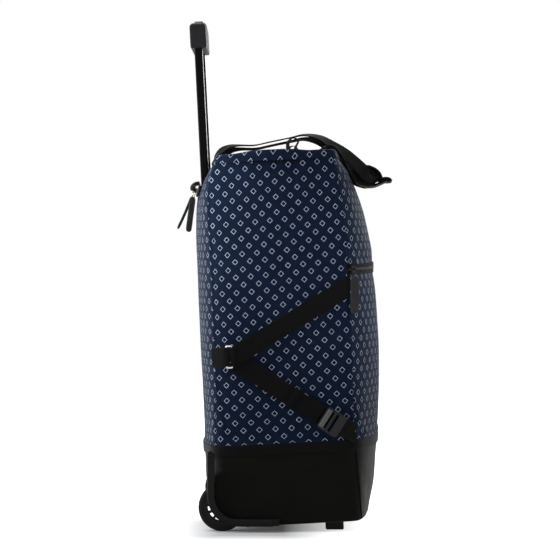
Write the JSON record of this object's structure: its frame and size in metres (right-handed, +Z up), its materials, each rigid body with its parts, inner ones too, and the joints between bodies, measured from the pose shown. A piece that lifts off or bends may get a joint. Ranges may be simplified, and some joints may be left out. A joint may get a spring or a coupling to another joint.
{
  "type": "shopping trolley on wheels",
  "caption": "Tall soft shopping trolley bag with a telescopic pull handle, two rear wheels, front feet, carry straps, side straps and a zipped front pocket.",
  "frame": {"origin": "middle of the object's outline on the floor", "axes": "+Z up, +X towards the side with the front pocket, -X towards the pull handle, +Y towards the side whose nodes end in _left"},
  "size_m": [0.3528, 0.3607, 0.8198],
  "materials": {
    "printed_cloth": "navy woven polyester with small pale blue outlined diamonds",
    "black_cloth": "smooth black coated polyester",
    "webbing": "black ribbed polypropylene webbing",
    "black_tube": "gloss black paint",
    "grip_plastic": "dark grey moulded plastic",
    "button_plastic": "light grey plastic",
    "black_plastic": "black moulded polypropylene",
    "buckle_plastic": "black acetal",
    "wheel_plastic": "black glossy plastic",
    "tyre": "smooth black tyre",
    "steel": "zinc plated steel",
    "nickel": "nickel plated wire",
    "zip_metal": "black enamelled zinc",
    "board": "grey polypropylene board",
    "acetal": "natural acetal"
  },
  "bodies": {
    "trolley": {"back_panel": "printed_cloth", "back_zip_tape": "webbing", "base_board": "board", "base_cloth": "black_cloth", "carry_strap_back": "webbing", "carry_strap_front": "webbing", "corner_guard_left": "black_plastic", "corner_guard_right": "black_plastic", "foot_screws": "steel", "front_foot_left": "black_plastic", "front_foot_right": "black_plastic", "front_panel": "printed_cloth", "grip_wrap": "black_cloth", "outer_tube_left": "black_tube", "outer_tube_right": "black_tube", "pocket_panel": "printed_cloth", "pocket_zip_tape": "webbing", "side_loops": "webbing", "side_panel_left": "printed_cloth", "side_panel_right": "printed_cloth", "side_strap_left": "webbing", "side_strap_right": "webbing", "strap_buckle_left": "buckle_plastic", "strap_buckle_right": "buckle_plastic", "strap_ring_left": "nickel", "strap_ring_right": "nickel", "strap_tabs": "webbing", "tube_foot_bracket": "black_plastic", "tube_guide": "black_plastic", "wheel_axle_left": "steel", "wheel_axle_right": "steel", "wheel_housing_left": "black_plastic", "wheel_housing_right": "black_plastic"},
    "wheel_left": {"tyre_left": "tyre", "wheel_rim_left": "wheel_plastic", "wheel_bush_left": "acetal"},
    "wheel_right": {"tyre_right": "tyre", "wheel_rim_right": "wheel_plastic", "wheel_bush_right": "acetal"},
    "handle": {"inner_tube_left": "black_tube", "inner_tube_right": "black_tube", "tube_plug_left": "acetal", "tube_plug_right": "acetal", "grip_body": "grip_plastic", "grip_cover": "grip_plastic", "button_spring": "steel"},
    "release_button": {"push_button": "button_plastic", "release_rods": "steel"},
    "lock_pin_left": {"lock_pin_left": "steel"},
    "lock_pin_right": {"lock_pin_right": "steel"},
    "top_flap_front": {"top_flap_front": "printed_cloth"},
    "top_flap_back": {"top_flap_back": "printed_cloth"},
    "main_zip_slider": {"main_zip_slider": "zip_metal"},
    "main_zip_pull": {"main_zip_pull": "webbing"},
    "pocket_zip_slider": {"pocket_zip_slider": "zip_metal"},
    "pocket_zip_pull": {"pocket_zip_pull": "webbing"},
    "back_zip_slider_left": {"back_zip_slider_left": "zip_metal"},
    "back_zip_pull_left": {"back_zip_pull_left": "webbing"},
    "back_zip_slider_right": {"back_zip_slider_right": "zip_metal"},
    "back_zip_pull_right": {"back_zip_pull_right": "webbing"}
  },
  "joints": [
    {"name": "wheel_left_spin", "type": "hinge", "parent": "trolley", "child": "wheel_left", "pos_m": [-0.0992, 0.152, 0.038], "axis": [0, 1, 0], "continuous": true},
    {"name": "wheel_right_spin", "type": "hinge", "parent": "trolley", "child": "wheel_right", "pos_m": [-0.0992, -0.152, 0.038], "axis": [0, 1, 0], "continuous": true},
    {"name": "handle_slide", "type": "slide", "parent": "trolley", "child": "handle", "axis": [-0.0499, 0, 0.9988], "range_m": [-0.165, 0]},
    {"name": "button_press", "type": "slide", "parent": "handle", "child": "release_button", "axis": [-0.0499, 0, 0.9988], "range_m": [-0.0035, 0], "stiffness_N_per_m": 1500, "springref_m": 0.001, "deforming": ["button_spring"]},
    {"name": "lock_pin_left_slide", "type": "slide", "parent": "handle", "child": "lock_pin_left", "axis": [0, 1, 0], "range_m": [0, 0.0025]},
    {"name": "lock_pin_right_slide", "type": "slide", "parent": "handle", "child": "lock_pin_right", "axis": [0, -1, 0], "range_m": [0, 0.0025]},
    {"name": "top_flap_front_fold", "type": "hinge", "parent": "trolley", "child": "top_flap_front", "pos_m": [0.07501, 0, 0.6034], "axis": [0, -1, 0], "range_deg": [0, 85]},
    {"name": "top_flap_back_fold", "type": "hinge", "parent": "trolley", "child": "top_flap_back", "pos_m": [-0.10567, 0, 0.59437], "axis": [0, 1, 0], "range_deg": [0, 85]},
    {"name": "main_zip_slide", "type": "slide", "parent": "trolley", "child": "main_zip_slider", "axis": [0, 1, 0], "range_m": [-0.295, 0]},
    {"name": "main_zip_pull_lift", "type": "hinge", "parent": "main_zip_slider", "child": "main_zip_pull", "pos_m": [-0.01573, 0.1475, 0.60697], "axis": [-0.9988, 0, -0.0499], "range_deg": [0, 95]},
    {"name": "pocket_zip_slide", "type": "hinge", "parent": "trolley", "child": "pocket_zip_slider", "pos_m": [-0.20463, 0, 0.39919], "axis": [-0.0499, 0, 0.9988], "range_deg": [0, 56.56]},
    {"name": "pocket_zip_pull_swing", "type": "hinge", "parent": "pocket_zip_slider", "child": "pocket_zip_pull", "pos_m": [0.11021, -0.16959, 0.41542], "axis": [-0.4732, -0.8807, -0.0236], "range_deg": [0, 80]},
    {"name": "back_zip_slide_left", "type": "hinge", "parent": "trolley", "child": "back_zip_slider_left", "pos_m": [0.72467, 0, 0.58479], "axis": [0.0499, 0, -0.9988], "range_deg": [0, 4.68]},
    {"name": "back_zip_pull_swing_left", "type": "hinge", "parent": "back_zip_slider_left", "child": "back_zip_pull_left", "pos_m": [-0.14967, 0.00907, 0.54325], "axis": [0.0103, 0.9999, 0.0005], "range_deg": [-18, 4]},
    {"name": "back_zip_slide_right", "type": "hinge", "parent": "trolley", "child": "back_zip_slider_right", "pos_m": [0.72467, 0, 0.58479], "axis": [-0.0499, 0, 0.9988], "range_deg": [0, 4.68]},
    {"name": "back_zip_pull_swing_right", "type": "hinge", "parent": "back_zip_slider_right", "child": "back_zip_pull_right", "pos_m": [-0.14967, -0.00907, 0.54325], "axis": [-0.0103, 0.9999, -0.0005], "range_deg": [0, 17]}
  ],
  "couplings": [
    {"joint": "lock_pin_right_slide", "follows": "lock_pin_left_slide", "ratio": 1}
  ]
}
